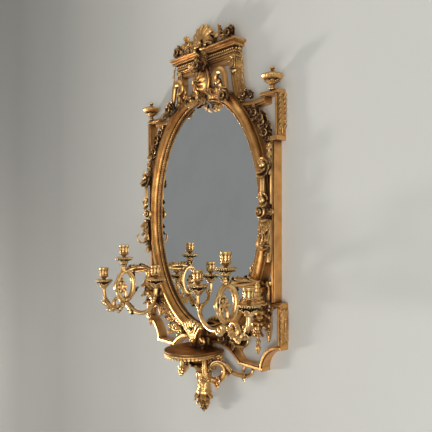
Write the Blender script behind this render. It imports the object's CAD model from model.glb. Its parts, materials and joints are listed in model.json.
"""The looks of a giltwood girandole mirror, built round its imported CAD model.

Lengths of the carvings are millimetres until a mesh is made, and those of the room, its lamps and
its camera are metres. +X is to the right seen from the room, +Y into the wall and +Z up, and the
origin is the centre of the oval on the wall."""

import json
import math

import bpy
import numpy as np
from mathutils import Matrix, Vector


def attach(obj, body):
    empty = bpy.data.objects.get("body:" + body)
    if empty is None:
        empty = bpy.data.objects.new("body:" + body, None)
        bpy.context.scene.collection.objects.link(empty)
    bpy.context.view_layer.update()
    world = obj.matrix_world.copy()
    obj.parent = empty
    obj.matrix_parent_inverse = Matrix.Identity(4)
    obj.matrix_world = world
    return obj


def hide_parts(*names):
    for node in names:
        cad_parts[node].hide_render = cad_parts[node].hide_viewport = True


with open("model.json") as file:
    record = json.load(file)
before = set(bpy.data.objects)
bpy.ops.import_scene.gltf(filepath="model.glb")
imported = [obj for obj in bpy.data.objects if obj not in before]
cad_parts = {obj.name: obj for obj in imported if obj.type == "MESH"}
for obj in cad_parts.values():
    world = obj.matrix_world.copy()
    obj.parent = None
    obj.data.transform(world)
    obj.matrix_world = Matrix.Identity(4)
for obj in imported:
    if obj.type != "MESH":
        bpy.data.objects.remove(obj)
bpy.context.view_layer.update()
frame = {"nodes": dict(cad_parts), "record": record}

MM = 0.001
TAU = 2 * math.pi
SHARP = math.radians(48)  # edges sharper than this stay crisp
WALL_GAP = 0.2  # no carving comes nearer to the wall than this

# Sizes shared with the CAD model.
SIGHT_X, SIGHT_Z = 284.0, 400.0
SHELF_TOP, PENDANT_TIP = -477.0, -713.0
SOCKET = np.array((305.0, -70.0, -228.0))
LOOP = np.array((296.0, -182.0, -276.0))
LOOP_DEEP, LOOP_HIGH = 35.0, 55.0
LIGHTS = {"outer": np.array((417.0, -208.0, -271.0)), "centre": np.array((296.0, -188.0, -177.0)),
    "inner": np.array((124.0, -159.0, -246.0))}

# A bar's rounded ends: how far out and how wide each ring is, in shares of the bar's radius.
CAP_OUT, CAP_WIDE = np.array((0.55, 0.45, 0.22)), np.array((0.1, 0.6, 0.92))
POLE = 0.03  # the open angle at a ball's poles, in radians

# ---------------------------------------------------------------- meshes


def vec(*xyz):
    return np.array(xyz, float)


def unit(v):
    v = np.asarray(v, float)
    return v / (np.linalg.norm(v, axis=-1, keepdims=True) + 1e-12)


class Shape:
    """Points and faces gathered for one piece."""

    def __init__(self):
        self.parts, self.faces, self.count = [], [], 0

    def points(self):
        return np.concatenate(self.parts)

    def put(self, points, faces):
        self.parts.append(np.asarray(points, float).reshape(-1, 3))
        self.faces.extend([tuple(i + self.count for i in face) for face in faces])
        self.count += len(self.parts[-1])

    def net(self, net, wrap_u=False, wrap_v=True):
        """A net of points, its axes u and v. Where only v wraps, the ends are capped."""
        m, n = net.shape[:2]
        us = np.arange(m if wrap_u else m - 1)
        vs = np.arange(n if wrap_v else n - 1)
        u, v = np.meshgrid(us, vs, indexing="ij")
        u2, v2 = (u + 1) % m, (v + 1) % n
        quads = np.stack([u * n + v, u * n + v2, u2 * n + v2, u2 * n + v], -1)
        faces = quads.reshape(-1, 4).tolist()
        if wrap_v and not wrap_u:
            faces += [list(range(n))[::-1], [(m - 1) * n + k for k in range(n)]]
        self.put(net, faces)

    def mirrored(self):
        twin = Shape()
        twin.put(self.points() * vec(-1, 1, 1), [face[::-1] for face in self.faces])
        return twin

    def add_both(self, half):
        """Another shape and its mirror image."""
        for form in (half, half.mirrored()):
            self.put(form.points(), form.faces)


def make(shape, name, material, body, *nodes):
    """Turns a shape into the piece that stands for CAD nodes and rides on a body."""
    mesh = bpy.data.meshes.new(name)
    points = shape.points()
    points[:, 1] = np.minimum(points[:, 1], -WALL_GAP)
    mesh.from_pydata((points * MM).tolist(), [], shape.faces)
    mesh.validate()
    mesh.polygons.foreach_set("use_smooth", [True] * len(mesh.polygons))
    mesh.set_sharp_from_angle(angle=SHARP)
    mesh.materials.append(material)
    piece = bpy.data.objects.new(name, mesh)
    bpy.context.scene.collection.objects.link(piece)
    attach(piece, body)
    if nodes:
        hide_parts(*nodes)


def carved(body="frame", paired=True, replaces=True):
    """Makes the piece that a function fills and names, or that piece and its mirror image."""

    def build(fill):
        shape = Shape()
        fill(shape)
        forms = {"_right": shape, "_left": shape.mirrored()} if paired else {"": shape}
        for side, form in forms.items():
            stem = fill.__name__ + side
            on_branch = body == "branch"
            make(form, f"carved_{stem}", METAL if on_branch else GILT,
                body + side if on_branch else body, *([stem] if replaces else []))

    return build


# ---------------------------------------------------------------- places and lines


class Spot:
    """A place with its own right, up and outward directions."""

    def __init__(self, origin, right=(1, 0, 0), up=(0, 0, 1)):
        self.origin = np.asarray(origin, float)
        up = unit(up)
        right = unit(np.asarray(right, float) - up * np.dot(right, up))
        self.axes = np.stack([right, up, np.cross(right, up)])

    def __call__(self, local):
        return self.origin + np.asarray(local, float) @ self.axes

    def turn(self, vector):
        return np.asarray(vector, float) @ self.axes

    def fanned(self, local, angle):
        """A place at a local point, swung by an angle in this one's own plane."""
        up, right = (math.sin(angle), math.cos(angle), 0), (math.cos(angle), -math.sin(angle), 0)
        return Spot(self(local), self.turn(right), self.turn(up))


def wall(x, y, z, aim=90.0, tilt=0.0):
    """A place that faces the room. Its up direction is at aim degrees in the plane of the wall (0
    is +X, 90 is +Z) and tipped out from the wall by tilt."""
    a, t = math.radians(aim), math.radians(tilt)
    up = vec(math.cos(a), 0, math.sin(a)) * math.cos(t) + vec(0, -1, 0) * math.sin(t)
    return Spot((x, y, z), (math.sin(a), 0, -math.cos(a)), up)


def level(count, first=0.0):
    """Level directions, evenly round a circle from an angle."""
    return [vec(math.cos(a), math.sin(a), 0) for a in TAU * np.arange(count) / count + first]


def smooth(points, count):
    """A Catmull-Rom line through points."""
    p = np.asarray(points, float)
    p = np.concatenate([2 * p[:1] - p[1:2], p, 2 * p[-1:] - p[-2:-1]])
    t = np.linspace(0, len(p) - 3, count)
    k = np.minimum(t.astype(int), len(p) - 4)
    f = (t - k)[:, None]
    a, b, c, d = p[k], p[k + 1], p[k + 2], p[k + 3]
    bend = (2 * a - 5 * b + 4 * c - d) * f**2 + (3 * b - a - 3 * c + d) * f**3
    return 0.5 * (2 * b + (c - a) * f + bend)


def route(start, heading, steps, fine):
    """Flat points along steps: ("run", length) or ("turn", first radius, last radius, degrees)."""
    x, z = start
    angle = math.radians(heading)
    points = [(x, z)]
    for step in steps:
        if step[0] == "run":
            for _ in range(4):
                x += math.cos(angle) * step[1] / 4
                z += math.sin(angle) * step[1] / 4
                points.append((x, z))
            continue
        _, first, last, degrees = step
        pieces = max(2, round(abs(degrees) / fine))
        part = math.radians(degrees) / pieces
        for n in range(pieces):
            radius = first + (last - first) * (n + 0.5) / pieces
            chord = 2 * radius * math.sin(abs(part) / 2)
            x += math.cos(angle + part / 2) * chord
            z += math.sin(angle + part / 2) * chord
            angle += part
            points.append((x, z))
    return np.array(points)


def upright(points, origin, azimuth=0.0):
    """Flat points stood in an upright plane whose first direction is azimuth degrees from +X."""
    points = np.asarray(points, float)
    a = math.radians(azimuth)
    along = vec(math.cos(a), math.sin(a), 0)
    return np.asarray(origin, float) + points[:, :1] * along + points[:, 1:2] * vec(0, 0, 1)


def evenly(path, count, closed=False):
    """Points at even distances along a path."""
    ring = np.concatenate([path, path[:1]]) if closed else path
    steps = np.concatenate([[0], np.cumsum(np.linalg.norm(np.diff(ring, axis=0), axis=1))])
    want = np.linspace(0, steps[-1], count, endpoint=not closed)
    return np.column_stack([np.interp(want, steps, ring[:, k]) for k in range(3)])


def oval_line(count, grow):
    """Even points round the sight ellipse, grown outwards, and their outward directions."""
    a = math.pi / 2 + np.linspace(0, TAU, 3000, endpoint=False)
    flat = np.zeros(len(a))
    base = np.column_stack([SIGHT_X * np.cos(a), flat, SIGHT_Z * np.sin(a)])
    out = unit(np.column_stack([np.cos(a) / SIGHT_X, flat, np.sin(a) / SIGHT_Z]))
    path = evenly(base + out * grow, count, closed=True)
    out = np.cross(unit(np.roll(path, -1, 0) - np.roll(path, 1, 0)), vec(0, 1, 0))
    return path, out * np.sign(np.sum(out * path, 1, keepdims=True))


def carried(path, closed=False, hint=(0, -1, 0)):
    """A steady pair of side directions along a path."""
    if closed:
        tangent = unit(np.roll(path, -1, 0) - np.roll(path, 1, 0))
    else:
        tangent = unit(np.gradient(path, axis=0))
    side = np.zeros_like(path)
    current = np.asarray(hint, float)
    if abs(np.dot(unit(current), tangent[0])) > 0.95:
        current = vec(1, 0.2, 0.3)
    for n, direction in enumerate(tangent):
        current = unit(current - direction * np.dot(current, direction))
        side[n] = current
    return side, np.cross(tangent, side)


# ---------------------------------------------------------------- the carver's forms


def bar(shape, path, radius, sides=12, squash=1.0, ribs=0, rib=0.12, closed=False, hint=(0, -1, 0)):
    """A round bar along a path. radius is a number, a pair (first, last), pairs of (share of the
    path, radius) or one for each point. squash flattens it along its hint direction."""
    path = np.asarray(path, float)
    count = len(path)
    if np.ndim(radius) == 0:
        radius = np.full(count, float(radius))
    elif np.ndim(radius) == 2:
        radius = np.interp(np.linspace(0, 1, count), *np.transpose(radius))
    elif len(radius) == 2:
        radius = np.linspace(radius[0], radius[1], count)
    radius = np.asarray(radius, float)
    if not closed:
        tangent = unit(np.gradient(path, axis=0))
        first = path[0] - tangent[0] * radius[0] * CAP_OUT[:, None]
        last = path[-1] + tangent[-1] * radius[-1] * CAP_OUT[::-1, None]
        path = np.concatenate([first, path, last])
        radius = np.concatenate([radius[0] * CAP_WIDE, radius, radius[-1] * CAP_WIDE[::-1]])
    side, other = carried(path, closed, hint)
    turn = np.linspace(0, TAU, sides, endpoint=False)
    reach = radius[:, None] * (1 + (rib * np.cos(ribs * turn) if ribs else 0 * turn))
    rim = path[:, None] + side[:, None] * (np.cos(turn) * reach * squash)[..., None]
    shape.net(rim + other[:, None] * (np.sin(turn) * reach)[..., None], closed)


def ridges(shape, path, turns, reach, radius):
    """Thin bars along a path, each at its own angle round it from the room's side."""
    side, other = carried(path)
    for turn in np.radians(turns):
        beside = (side * math.cos(turn) + other * math.sin(turn)) * reach[:, None]
        bar(shape, path + beside, radius, 8)


def turned(shape, place, profile, sides=32, flutes=0, depth=0.08, between=(0, 0)):
    """A lathe form about a place's up direction, from (radius, height) pairs, fluted between two
    heights."""
    profile = np.asarray(profile, float)
    turn = np.linspace(0, TAU, sides, endpoint=False)
    r = np.maximum(profile[:, :1], 0.02) * np.ones_like(turn)
    if flutes:
        inside = (profile[:, 1] > between[0]) & (profile[:, 1] < between[1])
        r = r * np.where(inside[:, None], 1 - depth * (0.5 - 0.5 * np.cos(flutes * turn)), 1)
    high = profile[:, 1:] * np.ones_like(turn)
    shape.net(place(np.stack([r * np.cos(turn), high, -r * np.sin(turn)], -1)))


def ball(shape, centre, radius, squash=(1, 1, 1), fine=10):
    a = np.linspace(0.0, math.pi, fine // 2 + 3)[:, None]
    a[0], a[-1] = POLE, math.pi - POLE
    b = np.linspace(0, TAU, fine, endpoint=False)
    net = np.stack([np.sin(a) * np.cos(b), np.sin(a) * np.sin(b), -np.cos(a) * np.ones_like(b)], -1)
    shape.net(np.asarray(centre, float) + net * radius * np.asarray(squash, float))


def block(shape, low, high, chamfer=0.8):
    """A block with its edges taken off."""
    low, high = np.asarray(low, float), np.asarray(high, float)
    centre, half = (low + high) / 2, (high - low) / 2
    c = min(chamfer, *(half * 0.45))
    ring = []
    for level_z, inset in ((-1, c), (-1, 0), (1, 0), (1, c)):
        z = level_z * (half[2] if inset else half[2] - c)
        x, y = half[0] - inset, half[1] - inset
        k = c if not inset else c * 0.6
        ring.append([(x - k, -y, z), (x, -y + k, z), (x, y - k, z), (x - k, y, z), (-x + k, y, z),
            (-x, y - k, z), (-x, -y + k, z), (-x + k, -y, z)])
    shape.net(centre + np.array(ring))


def leaf(shape, place, length, width, lobes=5, curl=70, roll=0, side=0, cup=0.26, thick=3.0,
         notch=0.27, point=0.5, across=9, flute=0.13):
    """An acanthus leaf. It grows along the place's up direction and faces outward. curl rolls its
    tip forward, side bends it in its own plane, and lobes scallop both its edges."""
    rows = 6 * lobes + 5
    t = np.linspace(0, 1, rows)
    s = np.linspace(-1, 1, across)
    theta = np.radians(roll + curl * t**2.4)
    phi = np.radians(side) * t
    along = np.column_stack([np.sin(phi) * np.cos(theta), np.cos(phi) * np.cos(theta),
        np.sin(theta)])
    right = np.column_stack([np.cos(phi), -np.sin(phi), np.zeros(rows)])
    normal = np.cross(right, along)
    steps = np.cumsum((along[1:] + along[:-1]) / 2, 0) * length / (rows - 1)
    middle = np.concatenate([np.zeros((1, 3)), steps])
    reach = (t + 0.04) ** 0.55 * (1.03 - t) ** point
    scallop = np.abs(np.sin(math.pi * lobes * t)) ** 0.7
    half = (width / 2 * reach / reach.max() * (1 - notch * (1 - scallop)))[:, None]
    edge = np.abs(s)
    # The blade is cupped, fluted towards its lobes and grooved along its middle rib.
    cupped = cup * (1 - s**2)
    fluted = flute * np.cos(TAU * lobes * t)[:, None] * edge**0.8
    height = half * (cupped - fluted - 0.12 * np.exp(-((s / 0.16) ** 2)))
    face = middle[:, None] + right[:, None] * (half * s)[..., None]
    face = face + along[:, None] * (0.4 * half * edge**1.6)[..., None]
    face = face + normal[:, None] * height[..., None]
    body = thick * (1 - edge**4) * (1 - 0.6 * t[:, None])
    back = face - normal[:, None] * body[..., None]
    shape.net(place(np.concatenate([face, back[:, -2:0:-1]], 1)))


def standing_leaf(shape, root, out, rise, flare, length, width, **more):
    """A leaf that faces out, grows up (rise 1) or down (rise -1) and leans outwards by flare."""
    place = Spot(root, np.cross((0, 0, rise), out), vec(0, 0, rise) + out * flare)
    leaf(shape, place, length, width, **more)


def spray(shape, spot, aims, tilt, length, width, **more):
    """Leaves that spread over the wall from one spot."""
    for aim in aims:
        leaf(shape, wall(*spot, aim, tilt), length, width, **more)


def leaf_along(shape, path, where, length, width, spread=35, out=(0, -1, 0), **more):
    """Leaves that spring from points of a path, on either side of it, facing out."""
    tangent = unit(np.gradient(np.asarray(path, float), axis=0))
    out = unit(out)
    for share in where:
        k = int(share * (len(path) - 1))
        ahead = unit(tangent[k] - out * np.dot(tangent[k], out))
        for lean in (math.radians(spread), -math.radians(spread)):
            up = ahead * math.cos(lean) + np.cross(ahead, out) * math.sin(lean)
            leaf(shape, Spot(path[k], np.cross(up, out), up), length, width, **more)


def flower(shape, place, radius, petals=6, turn=0.0):
    """A rose: two rings of round petals about a round heart."""
    for ring in (0, 1):
        size = radius * (1 - 0.36 * ring)
        for n in range(petals):
            a = TAU * (n + 0.5 * ring) / petals + turn
            root = (math.sin(a) * radius * 0.08, math.cos(a) * radius * 0.08, radius * 0.12 * ring)
            leaf(shape, place.fanned(root, a), size, size * 1.12, lobes=1, notch=0.0,
                curl=40 + 30 * ring, roll=14 + 26 * ring, cup=-0.25, thick=1.4, point=0.28,
                across=7, flute=0.0)
    ball(shape, place((0, 0, radius * 0.26)), radius * 0.24)


def husk(shape, place, length, width):
    """A bellflower that hangs along the place's up direction: three long petals and a berry."""
    for lean, share, lift in ((-26, 0.86, 0), (0, 1, 1.5), (26, 0.86, 0)):
        leaf(shape, place.fanned((0, 0, lift), math.radians(lean)), length * share, width * 0.55,
            lobes=2, notch=0.12, curl=46, roll=-4, cup=0.4, thick=1.6, across=7)
    ball(shape, place((0, length * 0.12, 2)), width * 0.2)


def volute(shape, place, radius, turns, thick, hand, start):
    """A spiral that winds in to an eye in the place's own plane."""
    t = np.linspace(0, 1, int(40 * turns))
    angle = np.radians(start) + hand * TAU * turns * t
    reach = radius * (1 - 0.86 * t) ** 0.9
    path = place(np.column_stack([np.cos(angle) * reach, np.sin(angle) * reach, 3.5 * t]))
    bar(shape, path, thick, sides=10, hint=place.turn((0, 0, 1)))
    ball(shape, place((0, 0, 3.5)), radius * 0.24)


# ---------------------------------------------------------------- materials


def node(tree, kind, inputs=(), **settings):
    """A shader node. inputs maps a socket to a value or to another node's output."""
    made = tree.nodes.new("ShaderNode" + kind)
    for key, value in settings.items():
        setattr(made, key, value)
    for key, value in dict(inputs).items():
        if isinstance(value, bpy.types.NodeSocket):
            tree.links.new(value, made.inputs[key])
        else:
            made.inputs[key].default_value = value
    return made


def ramp(tree, value, *stops):
    """A colour ramp through (position, grey or colour) stops."""
    made = node(tree, "ValToRGB", {"Fac": value})
    band = made.color_ramp
    while len(band.elements) < len(stops):
        band.elements.new(0.5)
    for element, (place, colour) in zip(band.elements, stops):
        element.position = place
        element.color = (colour,) * 3 + (1,) if np.ndim(colour) == 0 else (*colour, 1)
    return made.outputs[0]


def mixed(tree, share, first, second, blend="MIX"):
    made = node(tree, "Mix", {0: share}, data_type="RGBA", blend_type=blend)
    for index, value in ((6, first), (7, second)):
        if isinstance(value, bpy.types.NodeSocket):
            tree.links.new(value, made.inputs[index])
        else:
            made.inputs[index].default_value = (*value, 1)
    return made.outputs[2]


def start_material(name):
    made = bpy.data.materials.new(name)
    made.use_nodes = True
    tree = made.node_tree
    surface = next(n for n in tree.nodes if n.type == "BSDF_PRINCIPLED")
    spots = node(tree, "TexCoord").outputs["Object"]
    return made, tree, surface, spots


def noise(tree, spots, scale, detail=3.0, rough=0.55):
    return node(tree, "TexNoise", {"Vector": spots, "Scale": scale, "Detail": detail,
        "Roughness": rough}).outputs[0]


def set_inputs(tree, surface, **values):
    for key, value in values.items():
        socket = surface.inputs[key.replace("_", " ")]
        if isinstance(value, bpy.types.NodeSocket):
            tree.links.new(value, socket)
        else:
            socket.default_value = value


def gilding(name, gold, shade, bole, rough, hollow):
    """Gold leaf: toned in clouds, with dark bole in its hollows and bright, rubbed arrises."""
    made, tree, surface, spots = start_material(name)
    cloud = noise(tree, spots, 26.0, 4.0)
    speck = noise(tree, spots, 420.0, 3.0)
    deep = node(tree, "AmbientOcclusion", {"Distance": hollow}, samples=6).outputs["AO"]
    open_part = ramp(tree, deep, (0.50, 0.0), (0.94, 1.0))
    crest = ramp(tree, node(tree, "NewGeometry").outputs["Pointiness"], (0.495, 0.0), (0.56, 0.45))
    eased = node(tree, "Bevel", {"Radius": 0.0022}, samples=4).outputs[0]
    facing = node(tree, "VectorMath", {0: eased, 1: node(tree, "NewGeometry").outputs["Normal"]},
        operation="DOT_PRODUCT").outputs["Value"]
    arris = ramp(tree, facing, (0.80, 0.85), (0.985, 0.0))
    high = node(tree, "Math", {0: crest, 1: arris}, operation="MAXIMUM").outputs[0]
    toned = mixed(tree, ramp(tree, cloud, (0.36, 0.0), (0.66, 1.0)), shade, gold)
    rubbed = mixed(tree, high, toned, [min(1, c * 1.16 + 0.08) for c in gold])
    worn = mixed(tree, ramp(tree, speck, (0.68, 0.0), (0.80, 0.55)), rubbed, bole)
    colour = mixed(tree, open_part, bole, worn)
    metal = ramp(tree, deep, (0.25, 0.35), (0.7, 0.97))
    gloss = ramp(tree, cloud, (0.3, rough + 0.10), (0.7, rough - 0.05))
    dull = mixed(tree, open_part, (0.62,) * 3, gloss)
    fine = node(tree, "Bump", {"Height": speck, "Strength": 0.2, "Distance": 0.0005,
        "Normal": eased}).outputs[0]
    tooled = noise(tree, spots, 95.0, 2.0)
    bump = node(tree, "Bump", {"Height": tooled, "Strength": 0.40, "Distance": 0.0016,
        "Normal": fine}).outputs[0]
    set_inputs(tree, surface, Base_Color=colour, Metallic=metal, Roughness=dull, Normal=bump)
    return made


def glass_material():
    """Old silvered plate glass, a little clouded."""
    made, tree, surface, spots = start_material("looking_glass")
    cloud = noise(tree, spots, 9.0, 5.0)
    tint = mixed(tree, ramp(tree, cloud, (0.45, 0.0), (0.8, 0.5)), (0.86, 0.885, 0.875),
        (0.74, 0.77, 0.76))
    haze = ramp(tree, noise(tree, spots, 60.0, 6.0), (0.5, 0.012), (0.9, 0.05))
    set_inputs(tree, surface, Base_Color=tint, Metallic=1.0, Roughness=haze)
    return made


def pine_material():
    """Old unpainted pine with upright grain."""
    made, tree, surface, spots = start_material("pine")
    drawn = node(tree, "Mapping", {"Vector": spots, "Scale": (30.0, 30.0, 1.6)}).outputs[0]
    grain = noise(tree, drawn, 4.0, 6.0, 0.62)
    dust = noise(tree, spots, 14.0, 4.0)
    wood = ramp(tree, grain, (0.30, (0.12, 0.065, 0.028)), (0.55, (0.26, 0.155, 0.072)),
        (0.75, (0.34, 0.22, 0.11)))
    colour = mixed(tree, ramp(tree, dust, (0.45, 0.0), (0.8, 0.55)), wood, (0.09, 0.06, 0.04))
    bump = node(tree, "Bump", {"Height": grain, "Strength": 0.4, "Distance": 0.0006}).outputs[0]
    set_inputs(tree, surface, Base_Color=colour, Roughness=0.78, Normal=bump)
    return made


def brass_material(name, colour):
    """Aged brass fittings, tarnished in patches."""
    made, tree, surface, spots = start_material(name)
    patch = noise(tree, spots, 160.0, 5.0)
    tone = mixed(tree, ramp(tree, patch, (0.4, 0.0), (0.7, 0.8)), colour, (0.14, 0.085, 0.035))
    bump = node(tree, "Bump", {"Height": patch, "Strength": 0.2, "Distance": 0.0003}).outputs[0]
    set_inputs(tree, surface, Base_Color=tone, Metallic=0.9, Roughness=ramp(tree, patch,
        (0.3, 0.32), (0.7, 0.6)), Normal=bump)
    return made


GILT = gilding("gilt_wood", (0.96, 0.545, 0.19), (0.56, 0.235, 0.060),
    (0.055, 0.015, 0.006), 0.26, 0.028)
FLAT_GILT = gilding("gilt_wood_bands", (0.81, 0.425, 0.125), (0.40, 0.16, 0.036),
    (0.060, 0.017, 0.007), 0.32, 0.026)
METAL = gilding("gilt_metal", (0.98, 0.60, 0.245), (0.60, 0.30, 0.095),
    (0.060, 0.020, 0.008), 0.25, 0.014)
SHELF_TONE = gilding("shelf_wood", (0.40, 0.21, 0.075), (0.22, 0.10, 0.035),
    (0.05, 0.018, 0.008), 0.38, 0.012)
GLASS = glass_material()
PINE = pine_material()
SCREW_BRASS = brass_material("screw_brass", (0.62, 0.42, 0.16))
PLATE_BRASS = brass_material("plate_brass", (0.55, 0.36, 0.13))

by_slot = {"gilt_wood": FLAT_GILT, "gilt_metal": METAL, "looking_glass": GLASS, "pine_back": PINE,
    "brass_screws": SCREW_BRASS, "brass_plates": PLATE_BRASS}
for name, cad_node in frame["nodes"].items():
    kind = next(p["material_slot"] for p in frame["record"]["subparts"] if p["node"] == name)
    cad_node.data.materials.clear()
    cad_node.data.materials.append(by_slot[kind])
    cad_node.data.polygons.foreach_set("material_index", [0] * len(cad_node.data.polygons))

# ---------------------------------------------------------------- the oval and the surround


@carved(paired=False)
def sight_bead(s):
    pearls, fine = 232, 8
    points, out = oval_line(pearls * fine, 3.2)
    swell = 0.42 + 0.58 * np.abs(np.sin(math.pi * (np.arange(pearls * fine) / fine)))[:,
        None] ** 0.7
    a = np.linspace(0, math.pi, 7)
    net = points[:, None] + out[:, None] * (np.cos(a)[None, :,
        None] * 3.1 * (0.6 + 0.4 * swell[:, :, None]))
    net = net + vec(0, -1, 0) * (36.2 + np.sin(a)[None, :, None] * 5.2 * swell[:, :, None])
    s.net(net, True)


@carved()
def corner_finial(s):
    place = Spot((340, -35, 380))
    turned(s, place, [(0, 0), (10, 0), (11, 2), (10, 4.4), (7.4, 6), (7, 8), (8.4, 10), (7.4, 12),
        (6, 16), (5.6, 20), (7.4, 24), (11, 26.4), (12, 28.4), (12, 31)], 28)
    turned(s, place, [(0, 26), (10, 26.5), (18, 28.6), (26, 31.6), (31.6, 35.6), (34, 39.6),
        (34.6, 41.8), (33.8, 43.8), (32, 45), (0, 45)], 96, flutes=24, depth=0.07,
        between=(27, 41.5))
    turned(s, place, [(0, 44), (32, 44.6), (33, 46), (31.4, 47.4), (26, 49), (19, 51.4), (12, 54.4),
        (8, 57.4), (5, 60), (4.4, 62), (7, 64.4), (8.6, 67), (8, 69.6), (4.4, 72), (0, 74)], 64,
        flutes=16, depth=0.10, between=(48, 58))
    for out in level(8):
        root = place((0, 15, 0)) + out * 6
        standing_leaf(s, root, out, 1, 1.1, 23, 13, lobes=3, curl=40, cup=0.3, across=7)


@carved()
def cornice(s):
    end = 129.0
    rows = [(24, 533), (34, 533), (36, 534), (36, 537), (33, 538.5), (32.5, 541), (35, 545),
        (36.3, 547.5), (36.3, 549), (32.5, 550), (32.5, 560), (40, 560.5), (45.8, 561.5),
        (47, 562.5), (47, 569), (45.5, 570.3), (46, 571.5), (47.5, 573), (51.5, 575), (54.5, 577.5),
        (56, 578.2), (56, 583), (24, 583)]
    rows = np.array(rows)
    reach, z = rows[:, 0], rows[:, 1]
    line = np.stack([np.stack([np.full(len(z), 20.0), -reach, z], -1),
        np.stack([end + reach, -reach, z], -1),
        np.stack([end + reach, np.full(len(z), -0.4), z], -1)])
    s.net(line)
    block(s, (20.5, -27, 533.4), (154, -0.4, 582.6))

    def egg_row(z, reach, radius, pitch, tall, proud):
        long = end + reach - 22
        count = int(long / pitch)
        for n in range(count):
            x = 24 + (long - 4) * (n + 0.5) / count
            ball(s, (x, -reach, z), radius, (0.72, proud, tall), 8)
        for n in range(int(reach / pitch)):
            ball(s, (end + reach, -4 - (reach - 6) * (n + 0.5) / int(reach / pitch), z), radius,
                (proud, 0.72, tall), 8)

    egg_row(554.8, 34.5, 6.0, 9.6, 0.9, 1.0)
    egg_row(544.0, 35.4, 3.2, 6.2, 1.0, 0.9)
    for n in range(12):
        x = 28 + 12.6 * n
        leaf(s, wall(x, -45.6, 572.5, 90, 40), 10, 10.5, lobes=2, curl=20, cup=0.2,
            across=7, thick=1.4)
    for n in range(3):
        out = Spot((end + 46, -10 - 14 * n, 572.5), (0, -1, 0), (0.65, 0, 0.76))
        leaf(s, out, 10, 10.5, lobes=2, curl=20, cup=0.2, across=7, thick=1.4)
    for z, aim in ((536, 100), (545, 60), (556, 118), (566, 84)):
        leaf(s, wall(24, -38, z, aim, 30), 26, 15, lobes=3, curl=60)


@carved()
def console(s):
    block(s, (137, -30, 487.4), (163, -1, 532.6), 1.2)
    for low, high, reach, wide in ((525.8, 532.6, 36.6, 3.0), (521.5, 525.8, 33.6, 1.2),
            (486.6, 491, 34, 1.0)):
        block(s, (136.8, -reach, low), (163 + wide, -1, high), 1.0)
    for x in (137.4, 158.8):
        block(s, (x, -33.2, 490), (x + 3.8, -28, 523), 0.8)
    leaf(s, wall(150, -31.5, 522, -90, 4), 30, 14, lobes=4, curl=14, cup=0.2)
    centre = smooth([(151, -2, 489), (151.5, -2, 466), (155, -2, 438), (163, -2, 410),
        (176, -2, 384)], 22)
    tangent = unit(np.gradient(centre, axis=0))
    out = np.cross(tangent, vec(0, 1, 0))
    out = out * np.sign(out[:, :1])
    profile = [(-11.5, 0), (-11.5, 25), (-10, 28), (-8, 28), (-6.5, 24.5), (-3.5, 23), (0, 25.5),
        (3.5, 23), (6.5, 24.5), (8, 28), (10, 28), (11.5, 25), (11.5, 0)]
    across, lift = np.array(profile).T
    s.net(centre[:, None] + out[:, None] * across[:, None] - lift[:, None] * vec(0, 1, 0))
    volute(s, Spot((151, -18, 481), (0, -1, 0), (0, 0, 1)), 12, 1.3, (4.4, 2.2), 1, start=-60)
    bar(s, [(139, -27, 480), (151, -30.5, 477.5), (163, -27, 480)], [4.5, 6.5, 4.5],
        ribs=6, rib=0.12)
    for n in range(9):
        k = 2 + 2 * n
        spot = centre[k] + out[k] * 11.5 + vec(0, -14, 0)
        leaf(s, Spot(spot, (0, 1, 0), tangent[k] + out[k] * 0.2), 16, 17, lobes=3, curl=35,
            cup=0.25, across=7)
    for n in range(3):
        leaf(s, Spot((165.5, -8 - 9 * n, 522), (0, 1, 0), (0.12, 0, -1)), 33, 11, lobes=3,
            curl=30, across=7)


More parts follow.
